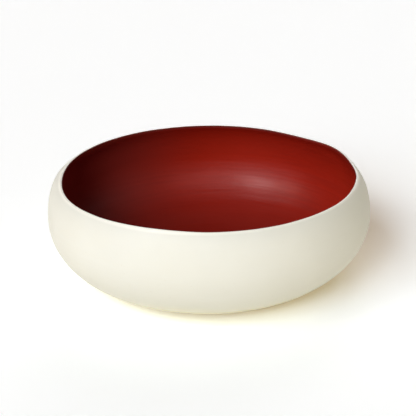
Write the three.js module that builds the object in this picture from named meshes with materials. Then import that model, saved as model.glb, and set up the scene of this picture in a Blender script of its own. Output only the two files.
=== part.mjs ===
// Papier-mache bowl: three crossed plies of pasted paper, bound at the rim,
// painted cream outside and lacquered red inside.
// Millimetres, +Z up, standing on z = 0 with the bowl's axis on the Z axis.
import * as THREE from "three";

// Outside form
const baseRadius = 67; // flat under the bowl
const bellyRadius = 152.5; // widest ring of the wall
const bellyHeight = 66;
const rimRadius = 141; // edge of the wall, under the rounded lip
const rimHeight = 101.2;
const shoulderTurn = 60; // degrees of its ellipse that the wall turns in above the belly
const lipRound = 1.1; // rise of the rounded lip for each millimetre of its half thickness
const paintEdge = 110; // degrees round the lip, from outside, where cream meets red

// Layers of the wall, from outside to inside
const coatThick = 0.4;
const plyThick = 0.7;
const lacquerThick = 0.4;
const pasteLine = 0.1; // between one layer and the next
const edgeGap = 0.3; // between neighbouring edges in one layer

// Paper pieces
const stripCount = 12; // upright strips in the outer ply, and as many in the inner one
const stripColumns = 3; // facets across one strip; its lap takes one more
const innerStagger = 2; // columns that the inner strips are turned against the outer ones
const bandCount = 5; // level bands in the middle ply
const bandSeamStep = 7; // columns from one band's seam to the next band's
const bindingLeg = 12; // how far the rim binding reaches down each side of the wall
const patchRadius = 20; // round patches that close the star of strip ends
const footMargin = 12; // painted flat left showing round the foot disc
const footProud = 0.6; // how far the foot disc stands below the painted flat

// The bowl was trued by eye: where its rim bulges or dips, by how much and how widely
const unevenness = [
  { at: 28, out: 1.2, up: 0, spread: 12 }, // soft corner, back right
  { at: 56, out: 0, up: -1.2, spread: 18 },
  { at: 128, out: 0, up: 0.8, spread: 26 },
  { at: 186, out: 1, up: 0, spread: 22 },
  { at: 252, out: 0, up: 1, spread: 16 },
  { at: 300, out: 0, up: -0.6, spread: 28 },
  { at: 354, out: -1, up: 0, spread: 16 },
];
const unevenPower = 3; // how fast the unevenness fades from the rim to the base

// Facets
const columns = stripCount * stripColumns;
const columnAngle = 360 / columns;
const lowerRows = 7; // from base to belly
const upperRows = 2; // from belly to the binding's edge
const crestRows = 3; // round half of the lip

const { clamp, degToRad, radToDeg } = THREE.MathUtils;

// Each layer's outer and inner face, as a depth below the painted outside
function layerUnder(above, thick) {
  const outer = above.inner + pasteLine;
  return { outer, inner: outer + thick };
}
const coat = { outer: 0, inner: coatThick };
const outerPly = layerUnder(coat, plyThick);
const middlePly = layerUnder(outerPly, plyThick);
const innerPly = layerUnder(middlePly, plyThick);
const lacquer = layerUnder(innerPly, lacquerThick);
const lipCentre = (middlePly.outer + middlePly.inner) / 2;

// Outline of the painted outside, from the axis to the wall's edge
const shoulderEnd = degToRad(shoulderTurn);
const shoulderWidth = (bellyRadius - rimRadius) / (1 - Math.cos(shoulderEnd));
const shoulderHeight = (rimHeight - bellyHeight) / Math.sin(shoulderEnd);
const flatCentre = new THREE.Vector2(0, footProud);
const flatEdge = new THREE.Vector2(baseRadius, footProud);
const lowerWidth = bellyRadius - baseRadius;
const lowerHeight = bellyHeight - footProud;
const shoulderCentre = bellyRadius - shoulderWidth;
const outline = new THREE.CurvePath();
outline.add(new THREE.LineCurve(flatCentre, flatEdge));
outline.add(
  new THREE.EllipseCurve(baseRadius, bellyHeight, lowerWidth, lowerHeight, -Math.PI / 2, 0),
);
outline.add(
  new THREE.EllipseCurve(shoulderCentre, bellyHeight, shoulderWidth, shoulderHeight, 0, shoulderEnd),
);

// Girth is the distance along that outline from the axis
const [baseGirth, bellyGirth, rimGirth] = outline.getCurveLengths();
const bindingGirth = rimGirth - bindingLeg;
const footRadius = baseRadius - footMargin;

// From one value to another in even steps
const ramp = (from, to, count) =>
  Array.from({ length: count + 1 }, (_, i) => from + ((to - from) * i) / count);

// Rows of facets up the wall that every layer shares, so that the layers nest
const wallRows = [
  ...ramp(baseGirth, bellyGirth, lowerRows),
  ...ramp(bellyGirth, bindingGirth, upperRows).slice(1),
  rimGirth,
];
const rowsUnderBinding = wallRows.slice(0, -2);
const rowsUnderLip = wallRows.slice(0, -1);
const fullTurn = ramp(0, 360, columns).slice(0, -1);

// The outline's point and outward direction at a girth
function outlineAt(girth) {
  const share = clamp(girth / rimGirth, 0, 1);
  const along = outline.getTangent(share);
  const past = Math.max(0, girth - rimGirth);
  const point = outline.getPoint(share).addScaledVector(along, past);
  return { point, outward: new THREE.Vector2(along.y, -along.x) };
}

function unevenAt(angle) {
  const sum = { out: 0, up: 0 };
  for (const place of unevenness) {
    const away = THREE.MathUtils.euclideanModulo(angle - place.at + 180, 360) - 180;
    const share = Math.exp(-((away / place.spread) ** 2));
    sum.out += place.out * share;
    sum.up += place.up * share;
  }
  return sum;
}

// A point of the wall: degrees round the axis, girth, and depth below the painted outside
function wallPoint(angle, girth, depth) {
  const { point, outward } = outlineAt(girth);
  const uneven = unevenAt(angle);
  const level = point.y - outward.y * depth;
  const share = Math.max(0, level / rimHeight) ** unevenPower;
  const radius = point.x - outward.x * depth + uneven.out * share;
  const turn = degToRad(angle);
  const height = level + uneven.up * share;
  return new THREE.Vector3(radius * Math.cos(turn), radius * Math.sin(turn), height);
}

// Splits a four-cornered facet along the diagonal that lies further out and up, so that
// nested layers split alike
function splitFacet(points, [a, b, c, d]) {
  const reach = (p, q) => {
    const sum = points[p].clone().add(points[q]);
    return Math.hypot(sum.x, sum.y) + sum.z;
  };
  return reach(a, c) > reach(b, d) ? [a, b, c, a, c, d] : [a, b, d, b, c, d];
}

// Sweeps a section through its stops; place turns a section point at a stop into space.
// With no drawing of the section the sweep meets itself; otherwise both ends are capped,
// with the caps' triangles laid out on that drawing.
function loft(section, stops, place, draw) {
  const ring = THREE.ShapeUtils.isClockWise(section) ? section.toReversed() : section;
  const size = ring.length;
  const points = stops.flatMap((stop) => ring.map((p) => place(p, stop)));
  const faces = [];
  const spans = draw ? stops.length - 1 : stops.length;
  for (let i = 0; i < spans; i++) {
    const here = i * size;
    const next = ((i + 1) % stops.length) * size;
    for (let j = 0; j < size; j++) {
      const k = (j + 1) % size;
      faces.push(...splitFacet(points, [here + j, here + k, next + k, next + j]));
    }
  }
  if (draw) {
    const end = (stops.length - 1) * size;
    for (const [a, b, c] of THREE.ShapeUtils.triangulateShape(ring.map(draw), [])) {
      faces.push(c, b, a);
      faces.push(end + a, end + b, end + c);
    }
  }
  const geometry = new THREE.BufferGeometry().setFromPoints(points);
  geometry.setIndex(faces);
  geometry.computeVertexNormals();
  return geometry;
}

// A piece that runs round the axis; its section is a list of [girth, depth]
function hoop(section, angles, draw) {
  const ring = section.map(([girth, depth]) => new THREE.Vector2(depth, girth));
  return loft(ring, angles, (p, angle) => wallPoint(angle, p.y, p.x), draw);
}

const alongRows = (rows, depth) => rows.map((girth) => [girth, depth]);

// An arc of the rounded lip, by its half thickness and degrees round it from outside
function crestArc(half, from, to, count) {
  return ramp(from, to, count).map((degrees) => {
    const turn = degToRad(degrees);
    return [rimGirth + lipRound * half * Math.sin(turn), lipCentre - half * Math.cos(turn)];
  });
}

// Cream paint: from the foot disc's edge up the outside and over the crest of the lip
function creamCoat() {
  const rows = [footRadius + edgeGap, ...rowsUnderLip];
  return hoop(
    [
      ...alongRows(rows, coat.outer),
      ...crestArc(lipCentre - coat.outer, 0, paintEdge, crestRows),
      ...crestArc(lipCentre - coat.inner, paintEdge, 0, crestRows),
      ...alongRows(rows, coat.inner).reverse(),
    ],
    fullTurn,
  );
}

// Red lacquer: over the whole inside and up the lip to the cream
function redLining() {
  const rows = [0, ...rowsUnderLip];
  const under = lacquer.outer - lipCentre;
  const start = paintEdge + radToDeg(edgeGap / under);
  return hoop(
    [
      ...alongRows(rows, lacquer.inner),
      ...crestArc(lacquer.inner - lipCentre, 180, start, crestRows),
      ...crestArc(under, start, 180, crestRows),
      ...alongRows(rows, lacquer.outer).reverse(),
    ],
    fullTurn,
  );
}

// Binding: a strip folded over the middle ply, with a leg in the outer and in the inner ply
function rimBinding() {
  return hoop(
    [
      [bindingGirth, outerPly.outer],
      ...crestArc(lipCentre - outerPly.outer, 0, 180, 2 * crestRows),
      [bindingGirth, innerPly.inner],
      [bindingGirth, innerPly.outer],
      ...crestArc(lipCentre - outerPly.inner, 180, 0, 2 * crestRows),
      [bindingGirth, outerPly.inner],
    ],
    fullTurn,
  );
}

// Upright strip: its outer half ends where the next strip's begins, and a tongue of half
// the thickness runs one column on, under that neighbour
function uprightStrip(ply, firstColumn) {
  const middle = (ply.outer + ply.inner) / 2;
  const tongueTop = middle + pasteLine / 2;
  const lapUnder = middle - pasteLine / 2;
  // x counts columns, y is the depth and z the gap kept to the next strip
  const at = (column, depth, gap = 0) => new THREE.Vector3(firstColumn + column, depth, gap);
  const across = ramp(1, stripColumns, stripColumns - 1);
  const section = [
    ...across.map((column) => at(column - 1, ply.outer)),
    at(stripColumns, ply.outer, edgeGap),
    at(stripColumns, tongueTop, edgeGap),
    at(stripColumns + 1, tongueTop, edgeGap),
    at(stripColumns + 1, ply.inner, edgeGap),
    ...across.toReversed().map((column) => at(column, ply.inner)),
    at(1, lapUnder),
    at(0, lapUnder),
  ];
  const rows = [patchRadius + edgeGap, ...rowsUnderBinding, bindingGirth - edgeGap];
  const place = (p, girth) => {
    const gap = radToDeg(p.z / outlineAt(girth).point.x);
    return wallPoint(p.x * columnAngle - gap, girth, p.y);
  };
  const draw = (p) => {
    const { x, y } = wallPoint(p.x * columnAngle, bellyGirth, p.y);
    return new THREE.Vector2(x, y);
  };
  return loft(section, rows, place, draw);
}

// Level band of the middle ply, open at its seam
function hoopBand(index) {
  const edgeRow = (edge) => Math.round((edge * (wallRows.length - 1)) / bandCount);
  const rows = wallRows.slice(edgeRow(index), edgeRow(index + 1) + 1);
  rows[0] += edgeGap;
  const seam = index * bandSeamStep * columnAngle;
  const seamGap = radToDeg(edgeGap / outlineAt(rows[0]).point.x);
  const angles = [...fullTurn, 360 - seamGap].map((angle) => seam + angle);
  const draw = (p) => {
    const { x, z } = wallPoint(0, p.y, p.x);
    return new THREE.Vector2(-x, z);
  };
  return hoop(
    [...alongRows(rows, middlePly.outer), ...alongRows(rows, middlePly.inner).reverse()],
    angles,
    draw,
  );
}

// Flat disc across the base, between two heights
function baseDisc(radius, low, high) {
  const disc = new THREE.CylinderGeometry(radius, radius, high - low, columns);
  disc.rotateX(Math.PI / 2);
  disc.translate(0, 0, (low + high) / 2);
  return disc;
}
const layerDisc = (radius, layer) =>
  baseDisc(radius, footProud + layer.outer, footProud + layer.inner);

const finish = (color, roughness) =>
  new THREE.MeshStandardMaterial({ color, roughness, metalness: 0 });
const creamPaint = finish(0xeee6d3, 0.6);
const redLacquer = finish(0x6e1610, 0.35);
const pastedPaper = finish(0xc9bfa8, 0.9);
const footPaper = finish(0xd8ccb0, 0.85);

const bowl = new THREE.Group();
bowl.name = "papier_mache_bowl";

function addPiece(name, geometry, material) {
  const mesh = new THREE.Mesh(geometry, material);
  mesh.name = name;
  bowl.add(mesh);
}

addPiece("cream_coat", creamCoat(), creamPaint);
addPiece("red_lining", redLining(), redLacquer);
addPiece("rim_binding", rimBinding(), pastedPaper);
for (let i = 0; i < stripCount; i++) {
  const number = String(i + 1).padStart(2, "0");
  const column = i * stripColumns;
  addPiece(`outer_strip_${number}`, uprightStrip(outerPly, column), pastedPaper);
  addPiece(`inner_strip_${number}`, uprightStrip(innerPly, column + innerStagger), pastedPaper);
}
for (let i = 0; i < bandCount; i++) {
  addPiece(`hoop_band_${i + 1}`, hoopBand(i), pastedPaper);
}
addPiece("base_core", layerDisc(baseRadius, middlePly), pastedPaper);
addPiece("outer_patch", layerDisc(patchRadius, outerPly), pastedPaper);
addPiece("inner_patch", layerDisc(patchRadius, innerPly), pastedPaper);
addPiece("foot_disc", baseDisc(footRadius, 0, footProud + coat.inner), footPaper);

export default bowl;
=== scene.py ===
# Papier-mache bowl: paint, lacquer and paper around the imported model, in metres
import math
from bisect import bisect_right
import bmesh
import bpy
from mathutils import Matrix, Vector, noise


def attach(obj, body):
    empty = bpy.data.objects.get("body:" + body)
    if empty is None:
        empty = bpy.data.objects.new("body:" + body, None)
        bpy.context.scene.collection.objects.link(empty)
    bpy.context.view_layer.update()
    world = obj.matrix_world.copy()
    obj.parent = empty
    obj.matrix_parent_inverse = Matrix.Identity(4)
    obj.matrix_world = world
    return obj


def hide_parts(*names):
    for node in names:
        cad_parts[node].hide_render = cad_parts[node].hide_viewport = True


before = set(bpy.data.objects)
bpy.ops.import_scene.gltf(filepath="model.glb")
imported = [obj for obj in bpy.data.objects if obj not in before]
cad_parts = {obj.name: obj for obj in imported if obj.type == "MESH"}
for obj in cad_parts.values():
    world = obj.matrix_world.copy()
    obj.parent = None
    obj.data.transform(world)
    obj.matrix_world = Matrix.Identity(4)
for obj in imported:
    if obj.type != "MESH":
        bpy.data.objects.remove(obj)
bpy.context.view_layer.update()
print("frame loaded:", len(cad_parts), "nodes")

# the wall's outside, as in the part's source
wall = {
    "baseRadius": 0.067,
    "bellyRadius": 0.1525,
    "bellyHeight": 0.066,
    "rimRadius": 0.141,
    "rimHeight": 0.1012,
    "shoulderTurn": 60,      # degrees of its ellipse that the wall turns in
    "lipRound": 1.1,         # rise of the lip for its half thickness
    "footProud": 0.0006,
    "bindingLeg": 0.012,     # how far the folded strip reaches down from the edge
    "baseSteps": 40,         # points of the outline over the base, the lower and the upper wall
    "lowSteps": 600,
    "highSteps": 300,
    "unevenPower": 3,        # the unevenness grows with the height by this power
    "uneven": [              # at degrees, out, up, spread in degrees
        (10, -0.001, 0, 11),
        (29, 0.0008, 0, 8),
        (50, 0, -0.002, 16),
        (72, 0, -0.0003, 14),
        (90, 0, -0.0008, 60),
        (128, 0, 0.0005, 26),
        (180, -0.0018, 0, 22),
        (196, 0.0005, 0, 12),
        (212, 0.0009, 0, 14),
        (252, 0, 0.001, 16),
        (272, 0, -0.0003, 14),
        (300, 0, -0.0006, 28),
        (328, 0.0005, -0.0005, 13),
        (352, 0.0003, 0, 14),
    ],
    "shoulder": [(157, 0.0034, 26)],     # at degrees, fuller below the lip, spread
    "shoulderWhole": (0.09, 0.094),      # heights between which it is fullest
    "shoulderPast": 0.001,               # it ends this far past the rim's height
}

# outer and inner face of each layer, as depths below the painted outside
layers = {
    "coat": (0.0, 0.0004),
    "outerPly": (0.0005, 0.0012),
    "middlePly": (0.0013, 0.002),
    "innerPly": (0.0021, 0.0028),
    "lacquer": (0.0029, 0.0033),
}
lipCentre = 0.00165
edgeGap = 0.0003
pasteLine = 0.0001
creaseAngle = 48             # degrees; sharper edges aren't smoothed over


def evenSteps(start, end, count):
    return [start + (end - start) * i / count for i in range(count + 1)]


def roundTurn(count):
    return evenSteps(0, 360, count)[:-1]


def ease(value, low, high):
    t = min(1.0, max(0.0, (value - low) / (high - low)))
    return t * t * (3 - 2 * t)


def nearness(angle, at, spread):
    away = (angle - at + 180) % 360 - 180
    return math.exp(-(away / spread) ** 2)


def hillsAt(angle, hills):
    return sum(height * nearness(angle, at, spread) for at, height, spread in hills)


def waver(angle, girth, around, along, seed):
    # smooth noise over the turned wall, without a seam
    turn = math.radians(angle)
    return noise.noise(Vector((math.cos(turn) * around + seed, math.sin(turn) * around, girth * along - seed)))


def outlineTable():
    # points of the outside from the axis to the wall's edge, and the girth at each
    turn = math.radians(wall["shoulderTurn"])
    flat, belly, high = wall["baseRadius"], wall["bellyRadius"], wall["bellyHeight"]
    upWide = (belly - wall["rimRadius"]) / (1 - math.cos(turn))
    upHigh = (wall["rimHeight"] - high) / math.sin(turn)
    lowWide, lowHigh = belly - flat, high - wall["footProud"]
    points = [(r, wall["footProud"], 0.0, -1.0) for r in evenSteps(0, flat, wall["baseSteps"])]
    arcs = [
        (flat, lowWide, lowHigh, -math.pi / 2, 0, wall["lowSteps"]),
        (belly - upWide, upWide, upHigh, 0, turn, wall["highSteps"]),
    ]
    for middle, wide, tall, start, end, count in arcs:
        for a in evenSteps(start, end, count)[1:]:
            along = Vector((-wide * math.sin(a), tall * math.cos(a))).normalized()
            points.append((middle + wide * math.cos(a), high + tall * math.sin(a), along.y, -along.x))
    girths = [0.0]
    for p, q in zip(points, points[1:]):
        girths.append(girths[-1] + math.hypot(q[0] - p[0], q[1] - p[1]))
    return points, girths


outline, outlineGirths = outlineTable()
baseGirth = outlineGirths[wall["baseSteps"]]
bellyGirth = outlineGirths[wall["baseSteps"] + wall["lowSteps"]]
rimGirth = outlineGirths[-1]
bindingGirth = rimGirth - wall["bindingLeg"]


def outlineAt(girth):
    # radius, height and outward direction at a girth; past the edge it runs straight on
    if girth >= rimGirth:
        r, z, outR, outZ = outline[-1]
        past = girth - rimGirth
        return r - outZ * past, z + outR * past, outR, outZ
    i = max(0, bisect_right(outlineGirths, girth) - 1)
    share = (girth - outlineGirths[i]) / (outlineGirths[i + 1] - outlineGirths[i])
    return tuple(a + (b - a) * share for a, b in zip(outline[i], outline[i + 1]))


def unevenAt(angle):
    out = up = 0.0
    for at, bulge, rise, spread in wall["uneven"]:
        share = nearness(angle, at, spread)
        out += bulge * share
        up += rise * share
    return out, up


def wallPoint(angle, girth, depth):
    r, z, outR, outZ = outlineAt(girth)
    out, up = unevenAt(angle)
    level = z - outZ * depth
    share = max(0.0, level / wall["rimHeight"]) ** wall["unevenPower"]
    wholeFrom, wholeTo = wall["shoulderWhole"]
    full = ease(level, wall["bellyHeight"], wholeFrom)
    full *= 1 - ease(level, wholeTo, wall["rimHeight"] + wall["shoulderPast"])
    radius = r - outR * depth + out * share + hillsAt(angle, wall["shoulder"]) * full
    turn = math.radians(angle)
    return Vector((radius * math.cos(turn), radius * math.sin(turn), level + up * share))


def crestArc(half, start, end, count, swell=0.0, thicker=0.0):
    # round the lip, by half thickness and degrees from outside
    arc = []
    for a in evenSteps(math.radians(start), math.radians(end), count):
        rise = wall["lipRound"] * half * (1 + swell) * math.sin(a)
        arc.append((rimGirth + rise, lipCentre + thicker - (half + thicker) * math.cos(a)))
    return arc


def loft(name, rings, closedAround):
    bm = bmesh.new()
    verts = [[bm.verts.new(p) for p in ring] for ring in rings]
    size = len(rings[0])
    spans = len(rings) if closedAround else len(rings) - 1
    for i in range(spans):
        here, there = verts[i], verts[(i + 1) % len(rings)]
        for j in range(size):
            k = (j + 1) % size
            bm.faces.new((here[j], here[k], there[k], there[j]))
    if not closedAround:
        bm.faces.new(list(reversed(verts[0])))
        bm.faces.new(verts[-1])
    bmesh.ops.remove_doubles(bm, verts=bm.verts, dist=1e-7)
    bmesh.ops.recalc_face_normals(bm, faces=bm.faces)
    for face in bm.faces:
        face.smooth = True
    mesh = bpy.data.meshes.new(name)
    bm.to_mesh(mesh)
    bm.free()
    mesh.set_sharp_from_angle(angle=math.radians(creaseAngle))
    piece = bpy.data.objects.new(name, mesh)
    bpy.context.scene.collection.objects.link(piece)
    return piece


def hoop(name, sectionAt, angles, closedAround=True):
    rings = [[wallPoint(angle, girth, depth) for girth, depth in sectionAt(angle)] for angle in angles]
    return loft(name, rings, closedAround)


def markCrest(piece, half):
    # how far each point lies above or below the top of the uneven lip, for the finish's painted shade under the
    # crest
    marks = piece.data.attributes.new("toCrest", "FLOAT", "POINT")
    for point, mark in zip(piece.data.vertices, marks.data):
        angle = math.degrees(math.atan2(point.co.y, point.co.x))
        mark.value = point.co.z - wallPoint(angle, rimGirth + wall["lipRound"] * half, lipCentre)[2]


def settle(piece, finish, slot, *nodes):
    piece.data.materials.append(finish)
    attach(piece, "root")
    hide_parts(*nodes)
    return piece


class Wire:
    # a node's output: sums on it add Math nodes, and add() brings in any other node
    def __init__(self, tree, socket=None):
        self.tree = tree
        self.socket = socket

    def add(self, kind, settings, values, out=0):
        node = self.tree.nodes.new(kind)
        for key, value in settings.items():
            setattr(node, key, value)
        for key, value in values.items():
            socket = node.inputs[key]
            if isinstance(value, Wire):
                self.tree.links.new(value.socket, socket)
            else:
                socket.default_value = (*value, 1.0) if socket.type == "RGBA" else value
        return Wire(self.tree, node.outputs[out] if len(node.outputs) else None)

    def out(self, name):
        return Wire(self.tree, self.socket.node.outputs[name])

    def maths(self, operation, first, second):
        return self.add("ShaderNodeMath", {"operation": operation}, {0: first, 1: second})

    def __add__(self, other):
        return self.maths("ADD", self, other)

    def __radd__(self, other):
        return self.maths("ADD", other, self)

    def __sub__(self, other):
        return self.maths("SUBTRACT", self, other)

    def __rsub__(self, other):
        return self.maths("SUBTRACT", other, self)

    def __mul__(self, other):
        return self.maths("MULTIPLY", self, other)

    def __rmul__(self, other):
        return self.maths("MULTIPLY", other, self)

    def __truediv__(self, other):
        return self.maths("DIVIDE", self, other)

    def __rtruediv__(self, other):
        return self.maths("DIVIDE", other, self)

    def __pow__(self, other):
        return self.maths("POWER", self, other)

    def __rpow__(self, other):
        return self.maths("POWER", other, self)

    def mixColour(self, share, first, second):
        return self.add("ShaderNodeMix", {"data_type": "RGBA"}, {0: share, 6: first, 7: second}, out=2)

    def fade(self, value, low, high):
        settings = {"interpolation_type": "SMOOTHSTEP"}
        return self.add("ShaderNodeMapRange", settings, {0: value, 1: low, 2: high, 3: 0.0, 4: 1.0})

    def grain(self, place, scale, detail=2.0, rough=0.5, bend=0.0):
        values = {"Vector": place, "Scale": scale, "Detail": detail, "Roughness": rough, "Distortion": bend}
        return self.add("ShaderNodeTexNoise", {}, values)

    def relief(self, height, depth, normal=None):
        values = {"Strength": 1.0, "Distance": depth, "Height": height}
        if normal:
            values["Normal"] = normal
        return self.add("ShaderNodeBump", {}, values)

    def surface(self, colour, rough, normal, ior, gloss):
        values = {"Base Color": colour, "Roughness": rough, "Normal": normal}
        values.update({"IOR": ior, "Specular IOR Level": gloss})
        shader = self.add("ShaderNodeBsdfPrincipled", {}, values)
        self.add("ShaderNodeOutputMaterial", {}, {"Surface": shader})


def newFinish(name):
    finish = bpy.data.materials.new(name)
    finish.use_nodes = True
    finish.node_tree.nodes.clear()
    return finish, Wire(finish.node_tree)


def turnedPlace(start):
    # object place, height, and a place that is long around the bowl and short up it
    place = start.add("ShaderNodeTexCoord", {}, {}, out="Object")
    x = start.add("ShaderNodeSeparateXYZ", {}, {0: place}, out="X")
    y, z = x.out("Y"), x.out("Z")
    radius = (x * x + y * y) ** 0.5 + 0.0001

    def streaked(around, along):
        parts = {0: x / radius * around, 1: y / radius * around, 2: (radius + z) * along}
        return start.add("ShaderNodeCombineXYZ", {}, parts)

    return place, z, streaked


creamCoat = {
    "columns": 256,
    "rows": (5, 58, 28),     # over the base, the lower and the upper wall
    "lipRows": 14,
    "footEdge": 0.0553,
    "seed": 2.3,
    "lumpHeight": 0.00025,   # how far the hand-formed wall swells in and out
    "lapHeight": 0.00009,    # strip laps that show through the paint
    "laidFrom": 0,
    "stripAngle": 30,
    "paintLine": 66,         # degrees round the lip where cream gives way to red
    "lineWander": 8,
    "lineTurns": [           # at degrees, more or less, spread: the brush was led by hand
        (186, 8, 24),
        (350, 24, 24),
    ],
    "lipThick": [            # at degrees, more pulp inside the lip, spread
        (182, 0.0003, 17),
    ],
    "lipThickDown": 0.022,
    "lipSwell": 0.14,
    "tone": (0.795, 0.788, 0.705),
    "paler": (0.815, 0.812, 0.735),
    "stroke": (0.785, 0.753, 0.635),
    # painted bounce light: yellower and lighter towards the base, as if lit from the floor below
    "paintedBounceTint": (0.95, 0.88, 0.6),
    "paintedBounceTop": 0.03,
    "paintedBounceShare": 0.75,
    "fleck": (0.55, 0.46, 0.32),
    "fleckShare": 0.1,
    "paintedCrestHighlight": (0.98, 0.965, 0.87),       # painted highlight: paler along the top of the lip, where the crest is lit
    "paintedHighlightHeights": (0.099, 0.1018),
    "paintedHighlightShare": 0.9,
    "rough": 0.52,
    "pulpDeep": 0.00008,
    "strokeDeep": 0.00005,
}


def paintLineAt(angle):
    wander = waver(angle, 0, 5, 0, 3.7) + 0.5 * waver(angle, 0, 19, 0, 8.2)
    return creamCoat["paintLine"] + hillsAt(angle, creamCoat["lineTurns"]) + creamCoat["lineWander"] * wander


def lipThickAt(angle, girth):
    return hillsAt(angle, creamCoat["lipThick"]) * ease(girth, rimGirth - creamCoat["lipThickDown"], rimGirth)


def lipSwellAt(angle):
    return creamCoat["lipSwell"] * (waver(angle, 0, 3.5, 0, 11.4) + 0.5 * waver(angle, 0, 12, 0, 5.6))


def strippedWall(angle, girth, film):
    # hand-formed swells, and the edges of pasted strips under the film
    seed = film["seed"]
    keep = ease(girth, baseGirth - 0.01, baseGirth + 0.02) * (1 - ease(girth, rimGirth - 0.01, rimGirth - 0.001))
    swell = waver(angle, girth, 1.7, 15, seed) + 0.5 * waver(angle, girth, 4.4, 36, seed + 4)
    tear = 1.6 * noise.noise(Vector((seed, girth * 40, 0.5)))
    across = ((angle - film["laidFrom"] + tear) % creamCoat["stripAngle"]) / creamCoat["stripAngle"]
    lapped = ease(across, 0, 0.05) * (1 - ease(across, 0.28, 0.36))
    return keep * (film["lumpHeight"] * swell + film["lapHeight"] * lapped)


def wallRows(start, counts):
    base, low, high = counts
    rows = evenSteps(start, baseGirth, base)[:-1] + evenSteps(baseGirth, bellyGirth, low)[:-1]
    return rows + evenSteps(bellyGirth, rimGirth, high)[:-1]


def buildCreamCoat(finish):
    outer, inner = layers["coat"]
    rows, lipRows = wallRows(creamCoat["footEdge"], creamCoat["rows"]), creamCoat["lipRows"]

    def sectionAt(angle):
        line = paintLineAt(angle)
        face = [(g, outer - strippedWall(angle, g, creamCoat)) for g in rows]
        face += crestArc(lipCentre - outer, 0, line, lipRows, lipSwellAt(angle), lipThickAt(angle, rimGirth) / 2)
        back = crestArc(lipCentre - inner, line, 0, lipRows)
        return face + back + [(g, inner) for g in reversed(rows)]

    piece = hoop("creamPaintCoat", sectionAt, roundTurn(creamCoat["columns"]))
    return settle(piece, finish, "cream_paint", "cream_coat")


def creamFinish():
    coat = creamCoat
    finish, start = newFinish("creamPaint")
    place, z, streaked = turnedPlace(start)
    cloud = start.fade(start.grain(place, 11, 3.0), 0.35, 0.68)
    strokes = start.grain(streaked(2.2, 260), 1.0, 3.0, 0.55)
    colour = start.mixColour(cloud, coat["tone"], coat["paler"])
    colour = start.mixColour((strokes - 0.5) * 0.25 + 0.1, colour, coat["stroke"])
    # painted bounce light: yellower towards the base
    low = 1 - start.fade(z + (cloud - 0.5) * 0.006, 0.0, coat["paintedBounceTop"])
    colour = start.mixColour(low * coat["paintedBounceShare"], colour, coat["paintedBounceTint"])
    fleck = start.fade(start.grain(place, 420, 1.0), 0.72, 0.8)
    colour = start.mixColour(fleck * coat["fleckShare"], colour, coat["fleck"])
    # painted highlight along the lip's crest
    paintedCrestLight = start.fade(z, *coat["paintedHighlightHeights"])
    colour = start.mixColour(paintedCrestLight * coat["paintedHighlightShare"], colour, coat["paintedCrestHighlight"])
    rough = coat["rough"] + (strokes - 0.5) * 0.18 + (cloud - 0.5) * 0.06
    normal = start.relief(start.grain(place, 170, 3.0, 0.6), coat["pulpDeep"])
    normal = start.relief(strokes, coat["strokeDeep"], normal)
    start.surface(colour, rough, normal, 1.46, 0.4)
    return finish


redLining = {
    "columns": 256,
    "rows": (24, 56, 28),
    "lipRows": 12,
    "lineGap": 0.6,          # degrees between the cream's edge and the red's
    "seed": 6.1,
    "lumpHeight": 0.0004,
    "lapHeight": 0.0001,
    "laidFrom": 20,          # the inner strips are turned by this against the outer ones
    "tone": (0.28, 0.0112, 0.0038),
    "deep": (0.206, 0.0074, 0.0026),
    "warm": (0.315, 0.0137, 0.0046),
    # painted haze colour for the shaded side
    "paintedHaze": (0.235, 0.03, 0.0235),
    # painted shade colour for the line under the lip's crest
    "edge": (0.08, 0.002, 0.001),
    "paintedLightHeights": (0.035, 0.065),       # painted light: warmer and lighter up the wall
    "paintedLightShare": 0.85,
    "paintedLightSide": (0.03, 0.1),             # but less of it on the lit +X side
    "paintedLightLess": 0.6,
    "paintedFloorShadeHeights": (0.004, 0.045),       # painted shade: darker on the floor of the bowl
    "paintedFloorShadeShare": 0.95,
    "paintedHazeHeights": (0.006, 0.04),        # painted haze: browner and greyer up the shaded -X side, in place of a faint reflection there
    "paintedHazeSide": (-0.125, 0.0),
    "paintedHazeShare": 0.8,
    "paintedLipShadeReach": (-0.0022, -0.0009),     # painted shade: a darker line just under the lip's crest
    "paintedLipShadeSide": (0.05, 0.11),
    "paintedLipShadeLess": 0.25,
    "paintedLipShadeShare": 0.85,
    "rough": 0.39,
    "grainDeep": 0.00006,
    "strokeDeep": 0.00012,
    "broadDeep": 0.0005,
}


def buildRedLining(finish):
    outer, inner = layers["lacquer"]
    rows, lipRows = wallRows(0, redLining["rows"]), redLining["lipRows"]

    def sectionAt(angle):
        line = paintLineAt(angle) + redLining["lineGap"]
        face = [(g, inner + strippedWall(angle, g, redLining) + lipThickAt(angle, g)) for g in rows]
        face += crestArc(inner - lipCentre, 180, line, lipRows, lipSwellAt(angle), lipThickAt(angle, rimGirth) / 2)
        back = crestArc(outer - lipCentre, line, 180, lipRows)
        return face + back + [(g, outer) for g in reversed(rows)]

    piece = hoop("redLacquerLining", sectionAt, roundTurn(redLining["columns"]))
    markCrest(piece, inner - lipCentre)
    return settle(piece, finish, "red_lacquer", "red_lining")


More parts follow.
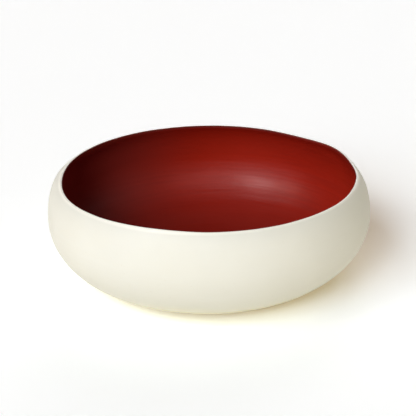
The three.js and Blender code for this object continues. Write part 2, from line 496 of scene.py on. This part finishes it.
def lacquerFinish():
    film = redLining
    finish, start = newFinish("redLacquer")
    place, z, streaked = turnedPlace(start)
    x = z.out("X")
    strokes = start.grain(streaked(2.4, 300), 1.0, 4.0, 0.6)
    broad = start.grain(streaked(1.6, 70), 1.0, 2.0)
    cloud = start.fade(start.grain(place, 14, 3.0), 0.35, 0.7)
    colour = start.mixColour(cloud, film["tone"], film["warm"])
    colour = start.mixColour(start.fade(strokes, 0.42, 0.68) * 0.45, colour, film["deep"])
    # painted light up the wall, less on the +X side
    paintedWallLight = start.fade(z, *film["paintedLightHeights"])
    paintedWallLight = paintedWallLight * (film["paintedLightShare"] - start.fade(x, *film["paintedLightSide"]) * film["paintedLightLess"])
    colour = start.mixColour(paintedWallLight, colour, film["warm"])
    # painted shade on the bowl's floor
    paintedFloorShade = 1 - start.fade(z, *film["paintedFloorShadeHeights"])
    colour = start.mixColour(paintedFloorShade * film["paintedFloorShadeShare"], colour, film["deep"])
    # painted haze on the shaded -X wall
    paintedHaze = (1 - start.fade(x, *film["paintedHazeSide"])) * start.fade(z, *film["paintedHazeHeights"])
    colour = start.mixColour(paintedHaze * film["paintedHazeShare"], colour, film["paintedHaze"])
    toCrest = start.add("ShaderNodeAttribute", {"attribute_name": "toCrest"}, {}, "Fac")
    lipShadeSideShare = 1 - start.fade(x, *film["paintedLipShadeSide"]) * film["paintedLipShadeLess"]
    # painted shade just under the crest, less on the +X side
    edge = start.fade(toCrest, *film["paintedLipShadeReach"]) * lipShadeSideShare
    colour = start.mixColour(edge * film["paintedLipShadeShare"], colour, film["edge"])
    rough = film["rough"] + (strokes - 0.5) * 0.18 + (broad - 0.5) * 0.22 + edge * 0.45
    normal = start.relief(start.grain(place, 190, 2.0), film["grainDeep"])
    normal = start.relief(strokes, film["strokeDeep"], normal)
    normal = start.relief(broad, film["broadDeep"], normal)
    start.surface(colour, rough, normal, 1.5, 0.25)
    return finish


pastedPaper = {
    "tone": (0.58, 0.52, 0.39),
    "grey": (0.47, 0.43, 0.35),
    "paste": (0.66, 0.6, 0.45),
    "fleck": (0.22, 0.18, 0.13),
    "fibre": 520,
    "rough": 0.88,
}
footPaper = {
    "tone": (0.68, 0.6, 0.43),
    "grey": (0.58, 0.5, 0.36),
    "paste": (0.74, 0.67, 0.5),
    "fleck": (0.3, 0.23, 0.14),
    "fibre": 380,
    "rough": 0.82,
}


def paperFinish(name, paper):
    finish, start = newFinish(name)
    place = start.add("ShaderNodeTexCoord", {}, {}, out="Object")
    fibres = start.grain(place, paper["fibre"], 4.0, 0.65, 1.6)
    cloud = start.fade(start.grain(place, 36, 3.0), 0.35, 0.65)
    stain = start.fade(start.grain(place, 75, 2.0, 0.5, 0.8), 0.55, 0.7)
    flecks = start.fade(start.grain(place, 800, 1.0), 0.7, 0.78)
    colour = start.mixColour(cloud, paper["tone"], paper["grey"])
    colour = start.mixColour(stain * 0.6, colour, paper["paste"])
    colour = start.mixColour(start.fade(fibres, 0.5, 0.75) * 0.5, colour, paper["grey"])
    colour = start.mixColour(flecks * 0.5, colour, paper["fleck"])
    normal = start.relief(fibres, 0.00012)
    normal = start.relief(cloud, 0.0002, normal)
    start.surface(colour, paper["rough"] - stain * 0.14, normal, 1.45, 0.25)
    return finish


paperStrips = {
    "count": 12,
    "shown": 3,              # columns that a strip shows; it tucks one more under its neighbour
    "columnAngle": 10,
    "innerTurn": 2,          # columns that the inner ply is staggered by
    "patchRadius": 0.02,
    "steps": 4,              # facets in a column
    "rows": (10, 30, 9),
    "tear": 0.0011,          # how far a torn edge wanders
}
hoopBands = {
    "count": 5,
    "lowRows": 7,            # rows that the wall below the belly is shared into
    "rows": 12,
    "columns": 180,
    "seamTurn": 70,          # degrees from one band's seam to the next
}
paperDiscs = {
    "rows": 8,
    "columns": 120,
    "discs": [               # name, radius, ply, node
        ("baseCore", wall["baseRadius"], "middlePly", "base_core"),
        ("outerPatch", paperStrips["patchRadius"], "outerPly", "outer_patch"),
        ("innerPatch", paperStrips["patchRadius"], "innerPly", "inner_patch"),
    ],
}
rimBinding = {
    "columns": 240,
    "legRows": 8,
    "lipRows": 14,
}


def tearAt(seed, column, girth):
    # torn edges run at the strip's lines 0 and 1 and at the next strip's, 3 and 4
    lines = [(0, seed), (1, seed + 0.37), (3, seed + 1), (4, seed + 1.37)]
    wander = [noise.noise(Vector(((s % paperStrips["count"]) * 5.3, girth * 90, 2.0))) for _, s in lines]
    for (a, _), (b, _), low, high in zip(lines, lines[1:], wander, wander[1:]):
        if column <= b:
            return paperStrips["tear"] * (low + (high - low) * (column - a) / (b - a))
    return paperStrips["tear"] * wander[-1]


def buildStrip(name, ply, firstColumn, seed, finish, node):
    outer, inner = layers[ply]
    middle = (outer + inner) / 2
    over, under = middle - pasteLine / 2, middle + pasteLine / 2
    steps, shown = paperStrips["steps"], paperStrips["shown"]
    end = shown + 1
    across = [(c, outer, 0) for c in evenSteps(0, shown, shown * steps)[:-1]] + [(shown, outer, edgeGap)]
    across += [(c, under, edgeGap) for c in evenSteps(shown, end, steps)]
    across += [(end, inner, edgeGap)] + [(c, inner, 0) for c in evenSteps(end, 1, shown * steps)[1:]]
    across += [(c, over, 0) for c in evenSteps(1, 0, steps)]
    base, low, high = paperStrips["rows"]
    rows = evenSteps(paperStrips["patchRadius"] + edgeGap, baseGirth, base)[:-1]
    rows += evenSteps(baseGirth, bellyGirth, low)[:-1] + evenSteps(bellyGirth, bindingGirth - edgeGap, high)
    rings = []
    for girth in rows:
        radius = outlineAt(girth)[0]
        ring = []
        for column, depth, gap in across:
            shift = math.degrees((tearAt(seed, column, girth) - gap) / radius)
            ring.append(wallPoint((firstColumn + column) * paperStrips["columnAngle"] + shift, girth, depth))
        rings.append(ring)
    return settle(loft(name, rings, False), finish, "pasted_paper", node)


def buildStrips(finish):
    for i in range(paperStrips["count"]):
        number = "%02d" % (i + 1)
        first = i * paperStrips["shown"]
        inner = first + paperStrips["innerTurn"]
        buildStrip("outerStrip" + number, "outerPly", first, i, finish, "outer_strip_" + number)
        buildStrip("innerStrip" + number, "innerPly", inner, i + 0.6, finish, "inner_strip_" + number)
    print("upright strips laid")


def flatSection(rows, ply):
    outer, inner = layers[ply]
    return [(g, outer) for g in rows] + [(g, inner) for g in reversed(rows)]


def buildBands(finish):
    rowEdges = evenSteps(baseGirth, bellyGirth, hoopBands["lowRows"])
    rowEdges += [(bellyGirth + bindingGirth) / 2, bindingGirth, rimGirth]
    rowsEach = (len(rowEdges) - 1) // hoopBands["count"]
    for i in range(hoopBands["count"]):
        low, high = rowEdges[i * rowsEach] + edgeGap, rowEdges[(i + 1) * rowsEach]
        section = flatSection(evenSteps(low, high, hoopBands["rows"]), "middlePly")
        seam = i * hoopBands["seamTurn"]
        seamGap = math.degrees(edgeGap / outlineAt(low)[0])
        angles = [seam + a for a in evenSteps(0, 360 - seamGap, hoopBands["columns"])]
        band = hoop("hoopBand%d" % (i + 1), lambda angle: section, angles, False)
        settle(band, finish, "pasted_paper", "hoop_band_%d" % (i + 1))
    for name, radius, ply, node in paperDiscs["discs"]:
        face = flatSection(evenSteps(0, radius, paperDiscs["rows"]), ply)
        disc = hoop(name, lambda angle: face, roundTurn(paperDiscs["columns"]))
        settle(disc, finish, "pasted_paper", node)
    print("bands and discs laid")


def buildBinding(finish):
    # a strip folded over the wall's edge, with a leg down each side
    outer, inner = layers["outerPly"][0], layers["innerPly"][1]
    outerBack, innerBack = layers["outerPly"][1], layers["innerPly"][0]
    legs, lipRows = evenSteps(bindingGirth, rimGirth, rimBinding["legRows"])[:-1], rimBinding["lipRows"]
    section = [(g, outer) for g in legs] + crestArc(lipCentre - outer, 0, 180, lipRows)
    section += [(g, inner) for g in reversed(legs)] + [(g, innerBack) for g in legs]
    section += crestArc(lipCentre - outerBack, 180, 0, lipRows) + [(g, outerBack) for g in reversed(legs)]
    piece = hoop("rimBindingFold", lambda angle: section, roundTurn(rimBinding["columns"]))
    return settle(piece, finish, "pasted_paper", "rim_binding")


footDisc = {
    "radius": 0.055,
    "columns": 200,
    "rows": 14,
    "cornerRows": 4,
    "deckle": 0.0002,        # how far its torn edge wanders
    "hollows": 0.00012,      # dents in the underside
    "round": 0.00018,
}


def buildFootDisc(finish):
    low, high = -wall["footProud"], layers["coat"][1]
    soft = footDisc["round"]

    def sectionAt(angle):
        edge = footDisc["radius"] + footDisc["deckle"] * (waver(angle, 0, 9, 0, 1.9) + waver(angle, 0, 30, 0, 4.1))
        rows = evenSteps(0, edge - soft, footDisc["rows"])
        under = []
        for g in rows[:-1]:
            under.append((g, low + footDisc["hollows"] * max(0.0, waver(angle, g, g * 40, 60, 9.3))))
        corner = []
        for a in evenSteps(0, math.pi / 2, footDisc["cornerRows"]):
            corner.append((edge - soft + soft * math.sin(a), low + soft - soft * math.cos(a)))
        return under + corner + [(edge, high)] + [(g, high) for g in reversed(rows)]

    piece = hoop("footDisc", sectionAt, roundTurn(footDisc["columns"]))
    return settle(piece, finish, "foot_paper", "foot_disc")


paper = paperFinish("pastedPaper", pastedPaper)
buildCreamCoat(creamFinish())
print("cream coat painted")
buildRedLining(lacquerFinish())
print("red lining lacquered")
buildStrips(paper)
buildBands(paper)
buildBinding(paper)
buildFootDisc(paperFinish("footPaper", footPaper))
print("binding and foot made")

studio = {
    "floorSize": 12.0,
    "floorBounce": (1.0, 0.97, 0.87),
    "floorSeen": (1.095, 1.245, 1.35),   # brings the lit floor up to white
    "floorGlow": (0.205, 0.118, 0.035),  # the sweep's own warm glow in the shadow
    "lowSeen": (1.0, 1.0, 0.985),        # the backdrop near the horizon
    "lowLight": (0.06, 0.055, 0.05),
    "highLight": (0.05, 0.048, 0.046),
    "highSeen": (0.1, 0.1, 0.1),         # a dim room in the lacquer, lighter on the right
    "sideSeen": (0.24, 0.25, 0.25),
    "sideReach": (0.0, 0.7),
    "skyReach": (0.12, 0.26),            # where the backdrop gives way to the room
    "unmirrored": ["keyHigh", "frontKey"],           # screened off from the lacquer's gloss
    "mirroredOnly": ["gleam", "wideGleam"],
    "lampAway": 2,
    "lamps": [               # name, degrees round from +X, rise, spread, power, tint
        ("keyHigh", -120, 42, 20, 0.61, (0.95, 1.0, 1.03)),
        ("keyMiddle", -152, 55, 12, 0.16, (0.98, 0.98, 1.04)),
        ("keyLow", -122, 20, 22, 0.36, (1.03, 0.98, 1.0)),
        ("frontKey", -107, 28.5, 20, 1.0, (0.98, 0.995, 1.04)),
        ("cornerKey", -142, 38, 20, 0.4, (1.02, 0.97, 1.01)),
        ("cornerLow", -140, 18, 22, 0.22, (0.8, 1.0, 1.2)),
        ("leftFill", -157, 34, 22, 0.23, (1.08, 1.01, 0.8)),
        ("gleam", -135, 39, 14, 0.78, (1.0, 1.0, 1.0)),
        ("wideGleam", -96, 39, 46, 0.66, (1.0, 1.0, 1.0)),
        ("rightCard", -33, 0.5, 4, 0.66, (1.18, 1.06, 0.76)),
        ("leftCard", 178, 0.5, 4, 0.2, (1.3, 0.9, 0.4)),
        ("rearGlow", 80, 30, 30, 0.52, (1.09, 0.96, 0.95)),
        ("topFill", 90, 60, 40, 0.21, (1.12, 0.98, 0.9)),
    ],
}


def seenRays(start):
    path = start.add("ShaderNodeLightPath", {}, {}, out="Is Camera Ray")
    return path + path.out("Is Glossy Ray") + path.out("Is Transmission Ray")


def buildFloor():
    half = studio["floorSize"] / 2
    corners = [(-half, -half, 0), (half, -half, 0), (half, half, 0), (-half, half, 0)]
    mesh = bpy.data.meshes.new("floor")
    mesh.from_pydata(corners, [], [(0, 1, 2, 3)])
    floor = bpy.data.objects.new("floor", mesh)
    bpy.context.scene.collection.objects.link(floor)
    finish, start = newFinish("paleFloor")
    bounce = start.add("ShaderNodeBsdfDiffuse", {}, {"Color": studio["floorBounce"]})
    white = start.add("ShaderNodeBsdfDiffuse", {}, {"Color": studio["floorSeen"]})
    glow = start.add("ShaderNodeEmission", {}, {"Color": studio["floorGlow"], "Strength": 1.0})
    white = start.add("ShaderNodeAddShader", {}, {0: white, 1: glow})
    ground = start.add("ShaderNodeMixShader", {}, {0: seenRays(start), 1: bounce, 2: white})
    start.add("ShaderNodeOutputMaterial", {}, {"Surface": ground})
    mesh.materials.append(finish)


def buildBackdrop():
    world = bpy.data.worlds.new("studio")
    world.use_nodes = True
    world.node_tree.nodes.clear()
    sky = Wire(world.node_tree)
    seen = seenRays(sky)
    towards = sky.add("ShaderNodeTexCoord", {}, {}, out="Generated")
    up = sky.add("ShaderNodeSeparateXYZ", {}, {0: towards}, out="Z")
    room = sky.mixColour(sky.fade(up.out("X"), *studio["sideReach"]), studio["highSeen"], studio["sideSeen"])
    low = sky.mixColour(seen, studio["lowLight"], studio["lowSeen"])
    high = sky.mixColour(seen, studio["highLight"], room)
    tone = sky.mixColour(sky.fade(up, *studio["skyReach"]), low, high)
    light = sky.add("ShaderNodeBackground", {}, {"Color": tone, "Strength": 1.0})
    sky.add("ShaderNodeOutputWorld", {}, {"Surface": light})
    bpy.context.scene.world = world


def hangLamps():
    for name, turn, rise, spread, power, tint in studio["lamps"]:
        sun = bpy.data.lights.new(name, "SUN")
        sun.energy = power
        sun.color = tint
        sun.angle = math.radians(spread)
        lamp = bpy.data.objects.new(name, sun)
        rise, turn = math.radians(rise), math.radians(turn)
        towards = Vector((math.cos(rise) * math.cos(turn), math.cos(rise) * math.sin(turn), math.sin(rise)))
        lamp.rotation_euler = towards.to_track_quat("Z", "Y").to_euler()
        lamp.location = towards * studio["lampAway"]
        lamp.visible_glossy = name not in studio["unmirrored"]
        lamp.visible_diffuse = name not in studio["mirroredOnly"]
        bpy.context.scene.collection.objects.link(lamp)
    print("studio lit")


photoView = {
    "aim": (-0.00081, 0.00018, 0.067),
    "distance": 1.5,
    "rise": 22.348,
    "roll": -1.201,
    "lens": 136.85,
    "sensor": 36.0,
    "farthest": 60.0,
}


def placeCamera():
    lens = bpy.data.cameras.new("photoCamera")
    lens.lens = photoView["lens"]
    lens.sensor_width = photoView["sensor"]
    lens.clip_end = photoView["farthest"]
    camera = bpy.data.objects.new("photoCamera", lens)
    rise = math.radians(photoView["rise"])
    back = Vector((0, -math.cos(rise), math.sin(rise)))
    turn = Matrix.Rotation(math.pi / 2 - rise, 4, "X") @ Matrix.Rotation(math.radians(photoView["roll"]), 4, "Z")
    camera.matrix_world = Matrix.Translation(Vector(photoView["aim"]) + back * photoView["distance"]) @ turn
    bpy.context.scene.collection.objects.link(camera)
    bpy.context.scene.camera = camera
    print("camera placed")


buildFloor()
buildBackdrop()
hangLamps()
placeCamera()
bpy.context.scene.view_settings.view_transform = "Standard"
